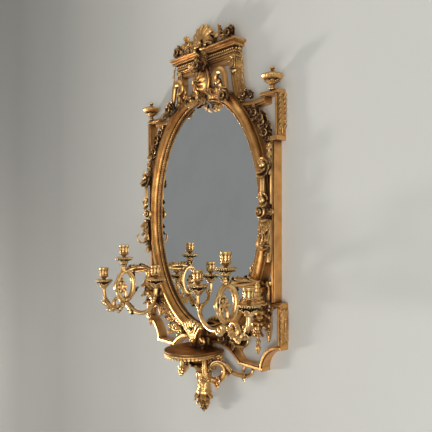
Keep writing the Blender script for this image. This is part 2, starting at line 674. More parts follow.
@carved(paired=False)
def crest(s):
    hub = vec(0, -40, 604)
    rays = 9
    for n in range(rays):
        lean = math.radians(-100 + 200 * n / (rays - 1))
        long = 52 - 7 * abs(lean) / 1.8
        aim = vec(math.sin(lean) * 0.94, 0, math.cos(lean))
        t = np.linspace(0, 1, 18)[:, None]
        swell = 8 * np.sin(math.pi * np.minimum(1, t * 1.05)) - 2 * t
        path = hub + aim * (5 + long * t) + vec(0, -1, 0) * swell
        bar(s, path, 3.0 + 10.2 * t[:, 0] ** 0.7, 16, squash=0.95)
        ball(s, path[-1] + aim * 2, 12.6, (1, 0.9, 1), 14)
    fan = np.radians(np.linspace(-104, 104, 41))
    rows = ((3, -44), (36, -44), (58, -36), (58, -20), (36, -18), (3, -18))
    back = [np.stack([r * np.sin(fan), y + 0 * fan, hub[2] + r * np.cos(fan)], -1) for r, y in rows]
    s.net(np.stack(back, 1))
    half = Shape()
    stem = smooth([(20, -34, 592), (44, -36, 596), (66, -36, 612), (84, -34, 626), (104, -32, 624),
        (120, -31, 612), (132, -30, 604)], 44)
    bar(half, stem, ((0, 8), (0.4, 6.4), (1, 4.6)), 14, ribs=4, rib=0.13)
    under = smooth([(36, -33, 590), (70, -36, 588), (98, -36, 594), (110, -36, 606),
        (102, -36, 614), (93, -36, 608)], 40)
    bar(half, under, (7, 3.2), 14, ribs=4)
    leaf_along(half, stem, (0.2, 0.5, 0.78), 34, 26, spread=34, lobes=3, curl=70, roll=10)
    leaf_along(half, under, (0.15, 0.5), 26, 22, spread=32, lobes=3, curl=60, roll=12)
    flower(half, wall(146, -40, 606), 19, 5)
    spray(half, (146, -31, 606), (-8, 40, 86, 134, 182, 226), 10, 33, 19, lobes=3, curl=42)
    bar(half, [(60, -18, 585), (100, -18, 587), (150, -20, 587)], [8, 10, 7], squash=1.3)
    leaf(half, wall(44, -42, 600, 40, 14), 32, 26, lobes=4, curl=75)
    leaf(half, wall(24, -46, 596, -28, 20), 26, 22, lobes=3, curl=60)
    s.add_both(half)
    bar(s, [(-30, -28, 589), (0, -42, 592), (30, -28, 589)], [8, 13, 8], 16)
    leaf(s, wall(0, -50, 608, -90, 24), 27, 34, lobes=3, curl=46, cup=0.3)
    ball(s, (0, -54, 606), 9)


@carved(paired=False)
def cartouche(s):
    wide, tall = 45.0, 60.0
    a = np.linspace(0, TAU, 96, endpoint=False)

    def ring(x, y, z):
        return np.stack([x * np.cos(a), y + 0 * a, 464 + z * np.sin(a)], -1)

    rings = []
    for r in np.linspace(0.04, 1, 20):
        swirl = a + 1.1 * (1 - r)
        flute = 0.5 + 0.5 * np.cos(9 * swirl + 0.9 * np.sin(2 * a))
        dome, swell = 17 * (1 - r**2.6), math.sin(math.pi * min(1, r * 1.12)) ** 0.8
        height = 50 + dome + 8.5 * flute**0.7 * swell
        rings.append(ring(wide * 0.86 * r, -height, tall * 0.88 * r))
    rings += [ring(wide * 0.93, -33, tall * 0.94), ring(wide * 0.5, -33, tall * 0.5)]
    s.net(np.array(rings))
    for inset, y, radius in ((3, -47, 5.4), (9.6, -51.5, 2.6)):
        bar(s, ring(wide - inset, y, tall - inset), radius, 12, closed=True)
    edge = ring(wide + 2, -40, tall + 2)
    for k in range(0, 96, 6):
        aim = math.degrees(math.atan2(math.sin(a[k]) * wide, math.cos(a[k]) * tall)) - 38
        if abs(edge[k][0]) > 8:
            leaf(s, wall(*(edge[k] * vec(0.98, 1, 1)), aim, 8), 17, 12, lobes=3, curl=55)
    flower(s, wall(0, -60, 524), 17)
    for hand in (1, -1):
        for aim, long in ((12, 46), (-24, 38), (38, 30), (-52, 30)):
            up = aim if hand == 1 else 180 - aim
            leaf(s, wall(hand * 9, -50, 521, up, 8), long, 20, lobes=4, curl=75)
    foot = Shape()
    stem = smooth([(12, -52, 408), (30, -54, 398), (48, -56, 400), (58, -58, 412), (52, -60, 424),
        (42, -60, 418)], 36)
    bar(foot, stem, (5.6, 2.6), ribs=4)
    leaf_along(foot, stem, (0.15, 0.4, 0.62), 24, 16, spread=42, lobes=3, curl=80, roll=10)
    leaf(foot, wall(16, -62, 402, -62, 12), 38, 22, lobes=4, curl=65, side=18)
    leaf(foot, wall(30, -60, 398, -32, 12), 30, 18, lobes=4, curl=70, side=10)
    s.add_both(foot)
    leaf(s, wall(0, -64, 412, -90, 16), 46, 28, lobes=5, curl=45, cup=0.3)
    leaf(s, wall(0, -62, 412, 90, 10), 22, 20, lobes=3, curl=60)
    ball(s, (0, -66, 411), 8, (1, 0.8, 1))


@carved()
def cornucopia(s):
    line = route((0, 0), 100, [("run", 74), ("turn", 27, 22, 170), ("turn", 17, 11, 130)], 6)
    path = upright(line, (156, -61, 388))
    thick = ((0, 8), (0.08, 11), (0.3, 14), (0.5, 12.5), (0.7, 9), (1, 5))
    bar(s, path, thick, 22, squash=0.85)
    ball(s, path[-1], 7.4)
    for aim, long in ((112, 36), (74, 32), (146, 32), (190, 28), (34, 26), (-14, 24), (232, 24)):
        leaf(s, wall(154, -62, 390, aim, 16), long, 24, lobes=3, curl=60, cup=0.3)
    flower(s, wall(156, -73, 388), 19, 5, turn=0.3)
    small = route((0, 0), 70, [("turn", 26, 20, 120), ("turn", 15, 8, 190)], 8)
    bar(s, upright(small, (116, -56, 426)), (6.2, 3.2), 14, ribs=3)
    low = smooth([(146, -56, 396), (132, -56, 398), (121, -56, 408), (116, -56, 426)], 16)
    bar(s, low, (7, 6.2), 14, ribs=3)
    leaf_along(s, low, (0.2, 0.7), 30, 23, spread=34, lobes=3, curl=60)
    leaf(s, wall(92, -56, 404, 186, 8), 30, 22, lobes=3, curl=60)


@carved(replaces=False)
def husk_string(s):
    """The thread of husks from the cornice's end down to the swag rail."""
    line = smooth([(181, -30, 560), (190, -27, 535), (194, -24, 500), (195, -22, 466),
        (198, -21, 432), (206, -21, 404), (220, -22, 384)], 60)
    bar(s, line, 1.8, 8)
    for k in range(4, 58, 6):
        down = unit(line[min(k + 2, 59)] - line[k])
        size = 15 + 0.10 * k
        husk(s, Spot(line[k] + vec(0, -3, 0), np.cross(down, (0, -1, 0)), down), size, size * 0.75)
    flower(s, wall(214, -33, 388), 15)
    spray(s, (214, -28, 386), (20, 70, 130, 190, 235, -30), 14, 27, 16, lobes=4, curl=70)
    flower(s, wall(244, -30, 380), 12, turn=0.5)
    spray(s, (240, -26, 380), (-10, 40, 100), 14, 24, 14, lobes=3, curl=70)


@carved()
def floral_festoon(s):
    centres = []
    for n in range(8):
        share = n / 7
        bow = 15 * math.sin(math.pi * share)
        centres.append(vec(244 + 75 * share + bow, -20, 327.6 - 98 * share + bow))
    centres = np.array(centres)
    bar(s, smooth(centres, 40), 6.5, ribs=5)
    for n, centre in enumerate(centres):
        big = 21 if n in (1, 3, 4, 6) else 15
        flower(s, wall(centre[0] + (3 if n % 2 else -3), -29, centre[2], 90), big, 5, turn=0.4 * n)
        spray(s, (centre[0], -23, centre[2]), (60 + 37 * n, 210 + 31 * n), 16, 30, 19, lobes=3,
            curl=50, across=7)
    for centre in (centres[2], centres[5]):
        for side in (-9, 9):
            ball(s, centre + vec(side, -11, side * 0.6), 5.2)
    bar(s, [(332, -20, 229), (316, -20, 229)], 4)
    bar(s, [(244, -20, 341), (244, -20, 326)], 4)


@carved()
def stile_trophy(s):
    bar(s, [(340, -41, 215), (340, -41, 25)], 3.6, ribs=6)
    block(s, (336.5, -52, 115), (343.5, -37.3, 137), 1.5)
    for z in (213, 192, 171, 150):
        husk(s, wall(340, -44, z, -90, 8), 24, 24)
        spray(s, (340, -41, z - 2), (-150, -30), 12, 15, 9, lobes=2, curl=60, across=7)
    for n, (aim, tilt, long) in enumerate(((-90, 16, 46), (-118, 12, 45), (-62, 12, 42),
            (-146, 8, 35), (-34, 6, 30), (-106, 32, 38), (-74, 32, 38), (90, 18, 26), (132, 16, 26),
            (48, 12, 22))):
        leaf(s, wall(333, -60 - 0.3 * n, 145, aim, tilt), long, 22, lobes=3, curl=40, cup=0.35)
    ball(s, (333, -70, 145), 11)
    bar(s, [(327, -66.5, 122), (327, -66.5, 36)], 6.6, 24, ribs=8, rib=0.16)
    for z in (114, 60):
        turned(s, Spot((327, -66.5, z - 2)), [(0, 0), (7.6, 0), (8.4, 1.6), (7.6, 3.2),
            (0, 3.2)], 20)
    for aim, tilt in ((90, 18), (60, 16), (120, 16), (150, 14), (30, 12), (-90, 18),
            (-60, 14), (-120, 14)):
        leaf(s, wall(331, -60, 37, aim, tilt), 26, 17, lobes=3, curl=45, cup=0.35, across=7)
    ball(s, (331, -70, 37), 9.5, (1, 0.9, 1.2))


@carved()
def side_rosette(s):
    turned(s, Spot((318, -58.8, 0), (1, 0, 0), (0, -1, 0)), [(0, 0), (16, 0), (18.6, 2), (19.6, 5),
        (19.6, 8.5), (18.4, 11), (16.4, 11.8), (14.6, 10.6), (13.6, 7.5), (12.6, 5.6), (11, 5.2),
        (10, 6.6), (9.6, 11), (8.6, 14.6), (6.8, 16), (5, 14.8), (4.2, 11.5), (3.2, 11),
        (2.6, 14.5), (2.2, 18), (1.2, 20), (0, 20.4)], 40)
    for n in range(16):
        a = TAU * n / 16
        ball(s, (318 + 12.3 * math.cos(a), -64.6, 12.3 * math.sin(a)), 1.5, fine=8)
    for z in (-4.6, 0, 4.6):
        bar(s, [(331, -56 + abs(z) * 0.4, z), (342, -53 + abs(z) * 0.4, z),
            (351, -50 + abs(z) * 0.4, z)], 2.9)
    block(s, (333.6, -50, -6.5), (350.6, -37.4, 6.5), 1.4)
    for x in (334, 349):
        bar(s, [(x, -50, -7.4), (x + 0.2, -56, 0), (x, -50, 7.4)], 2.3)
    for aim, long in ((0, 20), (36, 16), (-36, 16), (150, 12), (210, 12)):
        leaf(s, wall(344, -52, 0, aim, 6), long, 12, lobes=3, curl=50, across=7)
    ball(s, (351, -52, 0), 4.6)


@carved()
def stile_drapery(s):
    block(s, (336.5, -50, -151), (343.5, -37.3, -24), 1.6)
    for x_top, x_mid, x_low, y, thick in ((345, 347, 337, -54, 4.2), (341, 338, 331, -60, 4.6),
            (337, 331, 326, -63, 4.6), (334, 325, 322, -61, 4.0), (339, 343, 336, -57, 3.4),
            (336, 334, 328, -66, 3.0)):
        path = smooth([(x_top, -52, -26), (x_mid, y, -50), ((x_mid + x_low) / 2, y - 3, -76),
            (x_low, y + 2, -104)], 26)
        t = np.linspace(0, 1, 26)
        bar(s, path, thick * (0.62 + 0.5 * np.sin(math.pi * (0.12 + 0.8 * t))), 12, squash=0.9)
    for z, radius in ((-27, 11), (-105, 8.5)):
        bar(s, [(341, -49, z), (341, -66, z + 1), (328, -68, z - 1)], radius * 0.42, ribs=4)
    for aim, x, z, long, wide in ((-122, 336, -28, 36, 21), (-58, 342, -28, 34, 20),
            (-92, 339, -32, 40, 22), (-118, 332, -56, 34, 21), (-66, 340, -60, 34, 20),
            (-100, 335, -74, 36, 20)):
        leaf(s, wall(x, -62, z, aim, 10), long, wide, lobes=4, curl=42, cup=0.34)
    loop = route((0, 0), -60, [("turn", 26, 24, 110), ("turn", 22, 18, 80)], 8)
    bar(s, upright(loop, (339, -55, -104), 270), (5.6, 4.0), 14, squash=0.7, ribs=4)
    for z in (-108, -116):
        leaf(s, wall(339, -50, z, -90 + (z + 112) * 6, 10), 24, 14, lobes=3, curl=40)
    turned(s, Spot((340, -53, -156)), [(0, 0), (6.6, 0), (7.2, 3), (6.6, 12), (5.2, 20), (3.6, 24),
        (4.6, 26.5), (5, 29), (3.8, 32), (2.2, 36), (0, 38)], 40, flutes=10, depth=0.2,
        between=(1, 22))


@carved(replaces=False)
def side_leaves(s):
    """The carved leaf on the outer side of each ear and upper stile."""
    face = 374.4
    for x, first, count, ys, grow, long, wide, curl in (
            (face, -302, 6, (-8, -24), -1, 24, 15, 28), (364.3, 250, 7, (-9, -23), 1, 21, 13, 30)):
        for n in range(count):
            for y, lean in zip(ys, (0.288, -0.288)):
                place = Spot((x, y, first + 16 * n * grow), (0, 1, 0), (0.16, lean, grow))
                leaf(s, place, long, wide, lobes=3, curl=curl, cup=0.3, across=7)
    for z in (-330, -352, -374):
        ball(s, (face + 2, -16, z), 5)
    bar(s, [(face, -16, -300), (face + 3, -16, -348), (face, -16, -404)], [2.4, 4, 2.4])
    bar(s, [(364.6, -16, 244), (366.5, -16, 305), (364.6, -16, 362)], 2.6)


# ---------------------------------------------------------------- the shelf and what hangs below it


def shelf():
    """The D-shaped board and, as a piece of its own, its beaded rim."""
    s = Shape()
    radius, side_count, front_count = 88.0, 12, 78
    a = np.linspace(0.03, math.pi - 0.03, front_count)
    bend = np.column_stack([np.cos(a), -np.sin(a)])
    straight = np.column_stack([np.full(side_count, radius), np.linspace(-14.6, -96, side_count)])
    plan = np.concatenate([straight, bend * radius + (0, -100), straight[::-1] * (-1, 1)])
    rise = np.column_stack([plan, np.full(len(plan), SHELF_TOP)])
    out = np.zeros((len(plan), 3))
    out[:, :2] = np.concatenate([[(1, 0)] * side_count, bend, [(-1, 0)] * side_count])
    board = [(-3.2, 0), (-2.4, -0.2), (-1.6, -0.9), (-0.7, -1.0), (0, -2.2), (0.1, -4.6),
        (-0.9, -6.8), (-3, -8.2)]
    mould = [(-2.8, -7.4), (-2.2, -8.2), (-2.2, -10.4), (-4.6, -12), (-5.2, -13.6), (-5.4, -16),
        (-9, -18.6), (-14, -19)]
    tone = Shape()
    for shape, profile in ((tone, board), (s, mould)):
        rows = np.array(profile)
        net = rise[:, None] + out[:, None] * rows[None, :, :1] + vec(0, 0, 1) * rows[None, :, 1:]
        shape.net(net, True, False)
        n = len(rows)
        shape.faces.append([k * n for k in range(len(plan))])
        shape.faces.append([k * n + n - 1 for k in range(len(plan))][::-1])
    edge = evenly(rise, 96)
    k = np.linspace(0, len(plan) - 1, 96)
    way = np.column_stack([np.interp(k, np.arange(len(plan)), out[:, c]) for c in range(3)])
    for n in range(1, 95):
        ball(s, edge[n] + way[n] * -3.6 + vec(0, 0, -12.6), 3.4, (1, 1, 1.25), 8)
        if n % 3 == 1:
            side = np.cross((0, 0, 1), way[n])
            leaf(s, Spot(edge[n] + way[n] * -5.5 + vec(0, 0, -10), side,
                way[n] * 0.55 + vec(0, 0, -1)), 14, 14, lobes=2, curl=40, cup=0.25,
                across=7, thick=1.4)
    make(tone, "carved_shelf_board", SHELF_TONE, "frame", "shelf")
    make(s, "carved_shelf_rim", GILT, "frame")


shelf()


@carved(paired=False)
def shelf_bracket(s):
    block(s, (-30, -13.6, -561.6), (30, -1, -449), 2)
    core = smooth([(0, -94, -503), (0, -78, -520), (0, -54, -542), (0, -36, -561)], 20)
    bar(s, core, ((0, 14), (0.4, 19), (1, 25)), 20, squash=0.9, ribs=8, rib=0.08)
    block(s, (-22, -100, -506), (22, -15, -496.6), 2)
    for leans, root, reach, flare, long, less, wide, lobes, curl in (
            ((-64, -40, -20, 0, 20, 40, 64), (0, -40, -558), 20, 0.95, 66, 0.3, 26, 5, 75),
            ((-52, -30, -10, 10, 30, 52), (0, -44, -556), 24, 0.5, 40, 0, 20, 4, 95)):
        for lean in leans:
            out = vec(math.sin(math.radians(lean)), -math.cos(math.radians(lean)), 0)
            standing_leaf(s, root + out * reach, out, 1, flare, long - abs(lean) * less, wide,
                lobes=lobes, curl=curl, cup=0.32)
    flower(s, Spot((0, -112, -514), (1, 0, 0), (0, -0.45, 1)), 17)


@carved(paired=False)
def pendant(s):
    axis = Spot((0, -34, PENDANT_TIP))
    turned(s, axis, [(0, 26), (6, 26), (9, 32), (12, 44), (16, 62), (20, 84), (24, 104), (28, 124),
        (30, 136), (29, 145), (24, 150), (0, 150.5)], 60, flutes=10, depth=0.16, between=(30, 138))
    for count, high, long, wide, turn, curl, reach in ((6, 146, 96, 31, 0.26, 60, 28 * 0.82),
            (6, 112, 80, 27, 0.79, 70, 23), (5, 66, 46, 19, 0.1, 60, 14)):
        for out in level(count, turn):
            if out[1] < 0.62:  # none grows towards the wall
                root = axis((0, high, 0)) + out * reach
                standing_leaf(s, root, out, -1, -0.16, long, wide, lobes=5, curl=curl, cup=0.3)
    turned(s, axis, [(0, 0), (1.6, 0.6), (4.2, 4), (6.6, 9), (7.6, 14), (6.6, 19), (4.6, 22),
        (5.8, 24), (8.6, 26), (8.8, 29), (6, 31), (0, 31)], 40, flutes=8, depth=0.14,
        between=(2, 20))
    for out in level(6):
        standing_leaf(s, axis((0, 27, 0)) + out * 5, out, -1, 0.45, 19, 10, lobes=2,
            curl=50, across=7)


@carved()
def horn(s):
    line = route((-34, 93), -90, [("run", 80.8), ("turn", 37.4, 32.3, 150),
        ("turn", 30.6, 23.8, 150), ("turn", 16, 9, 60)], 7)
    path = upright(line[2:], (86, -56, -552), 50)
    path[:, 2] = np.minimum(path[:, 2], -500)
    t = np.linspace(0, 1, len(path))
    thick = np.interp(t, (0, 0.25, 0.6, 0.9, 1), (8.5, 11, 11.5, 8.5, 6))
    bar(s, path, thick, 16, squash=0.9)
    ridges(s, path, (-42, 12, 66), thick * 0.93, 1.7)
    leaf_along(s, path, (0.66, 0.8), 36, 26, spread=24, out=(0.5, -0.85, 0), lobes=4, curl=46)
    leaf_along(s, path, (0.08, 0.26), 36, 27, spread=22, out=(0.2, -0.9, 0), lobes=4, curl=44)


@carved(replaces=False)
def tail_curl(s):
    """The small scroll under each end of the base rail."""
    path = smooth([(112, -26, -524), (126, -26, -535), (150, -24, -545), (178, -22, -546),
        (204, -20, -543), (224, -18, -535), (232, -16, -522), (228, -15, -510)], 48)
    bar(s, path, ((0, 8), (0.5, 6.4), (1, 3.6)), 14, ribs=4)
    link = smooth([(196, -16, -508), (194, -18, -520), (186, -20, -538)], 12)
    bar(s, link, 5, ribs=4)
    leaf_along(s, path, (0.1, 0.45), 30, 20, spread=24, lobes=3, curl=50)


@carved(paired=False)
def centre_clasp(s):
    block(s, (-27, -58, -466), (27, -37.6, -449.5), 2)
    flutes = 7
    for n in range(flutes):
        lean = math.radians(-30 + 60 * n / (flutes - 1))
        t = np.linspace(0, 1, 20)[:, None]
        bulge = 7 * np.sin(math.pi * t) + 13 * t**2.4 * math.cos(lean)
        aim = vec(math.sin(lean) * 1.15, 0, math.cos(lean))
        path = vec(0, -68, -470) + aim * (88 - 10 * abs(lean)) * t
        path = path + vec(0, -1, 0) * (bulge + 8 * math.cos(lean * 1.4))
        path[:, 0] = path[:, 0] * (0.42 + 0.58 * t[:, 0] ** 0.9)
        bar(s, path, 4.2 + 4.6 * t[:, 0] ** 0.9, 14, squash=1.1)
        ball(s, path[-1] + vec(0, -2, 0), 8.2, (1, 0.9, 1), 12)
    fan = np.linspace(-1, 1, 21)
    rows = ((15, -74, -466), (26, -80, -432), (40, -82, -398), (40, -60, -398), (26, -60, -432),
        (15, -60, -466))
    back = [np.stack([wide * fan, y + 12 * fan**2, z - 6 * fan**2], -1) for wide, y, z in rows]
    s.net(np.stack(back, 1))
    half = Shape()
    volute(half, wall(25, -64, -453, 90), 16, 1.5, (6, 2.6), -1, start=110)
    outer = smooth([(40, -78, -398), (34, -80, -420), (28, -76, -438), (36, -70, -450)], 20)
    bar(half, outer, (5.6, 4.4), ribs=3)
    leaf(half, wall(24, -64, -462, -60, 10), 26, 16, lobes=3, curl=60)
    leaf(half, wall(36, -58, -424, 24, 4), 30, 20, lobes=4, curl=60)
    leaf(half, wall(38, -56, -440, -14, 4), 34, 20, lobes=4, curl=60)
    s.add_both(half)
    leaf(s, wall(0, -84, -462, 90, 4), 62, 24, lobes=5, curl=50, cup=0.3)


@carved()
def branch_bracket(s):
    x = SOCKET[0]
    turned(s, Spot((x, -70, -262)), [(0, 0), (11, 0), (13, 2), (13, 6), (11.6, 8), (11.6, 25),
        (13.2, 27.5), (13.2, 32), (12.4, 33.8), (5.3, 33.8), (5.3, 10), (0, 10)], 32)
    spine = smooth([(x - 1, -15, -224), (x - 2, -15, -270), (x - 2, -15, -320), (x - 1, -15, -372),
        (x, -15, -412)], 30)
    bar(s, spine, ((0, 11), (0.3, 14), (0.75, 11), (1, 4)), 18, ribs=5, rib=0.07)
    block(s, (x - 5, -68, -261), (x + 5, -18, -237), 2)
    block(s, (x, -25, -307), (332.6, -7, -283), 2)
    front = smooth([(x, -64, -258), (x, -54, -290), (x, -36, -330), (x, -26, -370)], 24)
    bar(s, front, ((0, 9), (0.4, 12), (1, 6)), 18, ribs=6)
    for ring, (y, z, count, long, wide, reach, flare) in enumerate(((-70, -246, 7, 52, 29, 9, 0.26),
            (-66, -266, 6, 70, 30, 9, 0.12), (-60, -306, 5, 62, 27, 7, 0.16))):
        for out in level(count, TAU * 0.5 * ring / count):
            if y + out[1] * 20 <= -44:  # none grows into the spine
                root = vec(x, y, z) + out * reach
                standing_leaf(s, root, out, -1, flare, long, wide, lobes=4, curl=62, cup=0.3)
    drop = Spot((x, -62, -446))
    turned(s, drop, [(0, 0), (1.4, 0.6), (3.2, 5), (6.4, 12), (8.6, 19), (8.0, 25), (5, 30),
        (3.2, 34), (3.2, 38), (5.6, 41), (6.2, 44), (4.6, 47), (3.4, 52), (5, 60), (8, 72), (9, 90),
        (8, 130), (9, 186), (0, 188)], 40, flutes=8, depth=0.13, between=(6, 27))
    for out in level(5):
        root = vec(x, -62, -366) + out * 7
        standing_leaf(s, root, out, -1, 0.3, 27, 15, lobes=3, curl=60, across=7)
        place = Spot(vec(x, -62, -414) + out * 4, np.cross(out, (0, 0, 1)),
            vec(0, 0, 1) + out * 0.5)
        leaf(s, place, 13, 8, lobes=2, curl=60, across=7)
    for z, aim in ((-232, 160), (-252, 200), (-280, 190), (-300, 215), (-330, 200), (-346, 235),
            (-232, 30), (-318, -20), (-340, -40), (-366, -60)):
        leaf(s, wall(x + (8 if abs(aim) < 90 else -8), -26, z, aim, 6), 28, 18, lobes=4, curl=60)


@carved()
def lower_scroll(s):
    start, joint = (98.0, -434.0), (289.0, -342.0)
    heading = math.degrees(math.atan2(joint[1] - start[1], joint[0] - start[0]))
    radius = math.dist(start, joint) / 2 / math.sin(math.radians(15))
    line = route(start, heading - 15, [("turn", radius, radius, 30)], 1.2)
    path = upright(line, (0, -20, 0))
    bar(s, path, ((0, 9.5), (0.3, 8), (1, 6)), 16, squash=1.1)
    ridges(s, path, (-50, 0, 50), np.linspace(8.6, 6.0, len(path)), 2.0)
    leaf_along(s, path, (0.04, 0.24, 0.44, 0.64, 0.82), 40, 27, spread=28, lobes=4, curl=52, roll=8)
    low = smooth([(118, -24, -436), (146, -26, -444), (172, -28, -448), (196, -28, -446),
        (214, -26, -436), (220, -25, -424), (214, -25, -417)], 40)
    bar(s, low, ((0, 7), (0.5, 5.6), (1, 3.4)), 14, ribs=3)
    leaf_along(s, low, (0.12, 0.42), 36, 24, spread=26, lobes=4, curl=50, roll=8)
    curl = smooth([(180, -24, -398), (192, -26, -412), (208, -26, -418), (222, -26, -412),
        (222, -26, -400)], 26)
    bar(s, curl, (5.4, 3), 12, ribs=3)
    leaf(s, wall(232, -24, -384, -70, 10), 34, 20, lobes=4, curl=70)
    leaf(s, wall(256, -24, -368, -64, 10), 30, 18, lobes=4, curl=70)
    flower(s, wall(112, -34, -430, 90), 16)
    spray(s, (110, -28, -430), (40, 90, 140, 200, 250, 300), 12, 30, 19, lobes=4, curl=70)


# ---------------------------------------------------------------- the candle branches


def arm_path(light, dip):
    """The line of a candle arm from the foot of the loop to under a pan."""
    start = LOOP - vec(0, 0, LOOP_HIGH)
    reach = light - start
    azimuth = math.degrees(math.atan2(reach[1], reach[0]))
    span = math.hypot(reach[0], reach[1])
    corner = np.array(((0.0, 0.0), (span * 0.275, -dip * 2.0), (span, -dip * 2.0),
        (span, reach[2])))
    t = np.linspace(0, 1, 48)[:, None]
    a, b, c, d = corner
    line = (1 - t) ** 3 * a + 3 * t * (1 - t) ** 2 * b + 3 * t * t * (1 - t) * c + t**3 * d
    return line, upright(line, start, azimuth), azimuth, start


@carved("branch")
def branch_scroll(s):
    turned(s, Spot(SOCKET + vec(0, 0, -28)), [(0, 0), (4.9, 0), (5, 30), (0, 30)], 24)
    turned(s, Spot(SOCKET + vec(0, 0, 0.3)), [(0, 0), (12.6, 0), (13.2, 1.6), (12.8, 3.4),
        (11, 4.6), (10.6, 8), (12, 10), (12.4, 12), (11, 14), (7, 15.2), (0, 15.4)], 36)
    top = LOOP + vec(0, 0, LOOP_HIGH)
    root = SOCKET + vec(0, 0, 9)
    azimuth = math.degrees(math.atan2(top[1] - root[1], top[0] - root[0]))
    span, rise = math.dist(root[:2], top[:2]), top[2] - root[2]
    radius = span / 2 / math.sin(math.radians(22))
    line = route((0, 0), 22 + math.degrees(math.atan2(rise, span)),
        [("turn", radius, radius, -44)], 2)
    path = upright(line, root, azimuth)
    t = np.linspace(0, 1, len(path))
    bar(s, path, (8.4, 8.0), 20)
    bar(s, path - vec(0, 0, 1) * (15 * np.sin(np.pi * t))[:, None], (6.6, 6.6), 18)
    for share in (0.04, 0.42):
        k = int(share * (len(path) - 1))
        ahead = unit(path[min(k + 2, len(path) - 1)] - path[k])
        for out in ((0.7, 0, 0.7), (-0.7, 0, 0.7)):
            out = unit(np.array(out, float) - ahead * np.dot(ahead, out))
            leaf(s, Spot(path[k] + out * 6, np.cross(ahead, out), ahead), 46, 20, lobes=3,
                curl=14, cup=0.4)
    a = np.linspace(0, TAU, 96, endpoint=False)
    rear = 0.5 + 0.5 * np.cos(a)
    loop = np.stack([np.full(96, LOOP[0]), LOOP[1] + LOOP_DEEP * np.cos(a),
        LOOP[2] + LOOP_HIGH * np.sin(a)], -1)
    bar(s, loop, 8.4 + 1.8 * rear, 20, closed=True, hint=(1, 0, 0))
    for lean in (-0.5, 0.5):
        edge = loop + vec(lean * 17, 0, 0) + unit(loop - LOOP) * 2.4
        bar(s, edge, 2.4, 8, closed=True, hint=(1, 0, 0))
    for k, long, wide in ((84, 46, 24), (4, 40, 22)):
        ahead = unit(loop[(k + 1) % 96] - loop[k - 1])
        out = unit(loop[k] - LOOP)
        leaf(s, Spot(loop[k] + out * 6, np.cross(ahead, out), ahead), long, wide, lobes=3,
            curl=20, cup=0.4)
    heart = LOOP + vec(0, -22, -2)
    for side, tip in ((-1, 9.0), (1, 9.0), (0, 0)):
        turns = np.linspace(0, TAU * 1.55, 66)
        reach = np.interp(turns, (0, TAU * 1.55), (25, 6))
        wind = heart + np.stack([side * tip * (turns / turns[-1]) ** 1.5 + 0 * turns,
            -reach * np.cos(turns - 1.9), -reach * np.sin(turns - 1.9)], -1)
        bar(s, wind, np.interp(turns, (0, TAU * 1.55), (8.2, 5.0)), 16)
    ball(s, heart, 15, fine=20)
    for n in range(6):
        b = TAU * n / 6
        out = vec(0, math.cos(b), math.sin(b))
        for side in (-1, 1):
            leaf(s, Spot(heart + vec(side * 11, 0, 0) + out * 5, np.cross((side, 0, 0), out),
                out + vec(side * 0.5, 0, 0)), 17, 12, lobes=2, curl=40, cup=0.4)
    foot = LOOP - vec(0, 0, LOOP_HIGH)
    turned(s, Spot(foot - vec(0, 0, 16)), [(0, 0), (3, 1), (6.5, 5), (9.4, 8), (11.8, 11),
        (12.2, 16), (11.8, 22), (9, 26), (6, 29), (0, 30)], 40, flutes=8, depth=0.16,
        between=(2, 28))
    bar(s, [foot + vec(0, 0, 8), foot + vec(0, 0, 30), foot + vec(0, 0, 42)], (5.6, 4.4), ribs=4)
    seat = LIGHTS["centre"]
    low = top[2] - 4
    high = seat[2] - low
    hole = 3.4
    turned(s, Spot((seat[0], seat[1], low)), [(0, 0), (9, 0), (8, high * 0.12), (6.8, high * 0.24),
        (8.6, high * 0.34), (9.2, high * 0.4), (7, high * 0.52), (6.6, high * 0.62),
        (8.4, high * 0.8), (9.6, high * 0.92), (10, high * 0.96), (10, high), (hole, high),
        (hole, high - 8), (0, high - 8)], 36, flutes=6, depth=0.16, between=(2, high * 0.9))
    for ring, (count, start, long) in enumerate(((5, 0.44, 28), (4, 0.04, 30))):
        for out in level(count, TAU * 0.4 * ring / count):
            root = vec(seat[0], seat[1], low + high * start) + out * 5.6
            standing_leaf(s, root, out, 1, 0.22, long, 17, lobes=3, curl=44, cup=0.4)


def pan_leaves(s, seat):
    """The leaf cup under a drip pan and the turned stem it grows from."""
    turned(s, Spot(seat - vec(0, 0, 25)), [(0, 0), (5, 1), (6.4, 5), (5.2, 8), (6, 12), (8, 16),
        (9.6, 20), (10.2, 23), (10, 25), (3.4, 25), (3.4, 17), (0, 17)], 36, flutes=6, depth=0.12,
        between=(2, 20))
    for out in level(6):
        root = seat + out * 6 - vec(0, 0, 26)
        standing_leaf(s, root, out, 1, 0.62, 30, 19, lobes=3, curl=42, cup=0.35)


def candle_arm(s, name, dip, shares, radii, leaves, outs):
    """An arm with its leaves and the cup under its pan. leaves are (share of the arm, length)."""
    seat = LIGHTS[name]
    line, path, azimuth, start = arm_path(seat - vec(0, 0, 22), dip)
    t = np.linspace(0, 1, len(path))
    keep = np.linalg.norm(path - start, axis=1) > 13.5  # outside the loop's foot
    path, t = path[keep], t[keep]
    bar(s, path, np.interp(t, shares, radii), 22)
    last = len(path) - 1
    for share, long in leaves:
        k = int(share * last)
        ahead = unit(path[min(k + 2, last)] - path[max(k - 1, 0)])
        for out in outs:
            out = unit(out - ahead * np.dot(out, ahead))
            leaf(s, Spot(path[k] + out * 7, np.cross(ahead, out), ahead), long, 25, lobes=3,
                curl=16, cup=0.42)
    pan_leaves(s, seat)
    return line, path, azimuth, start


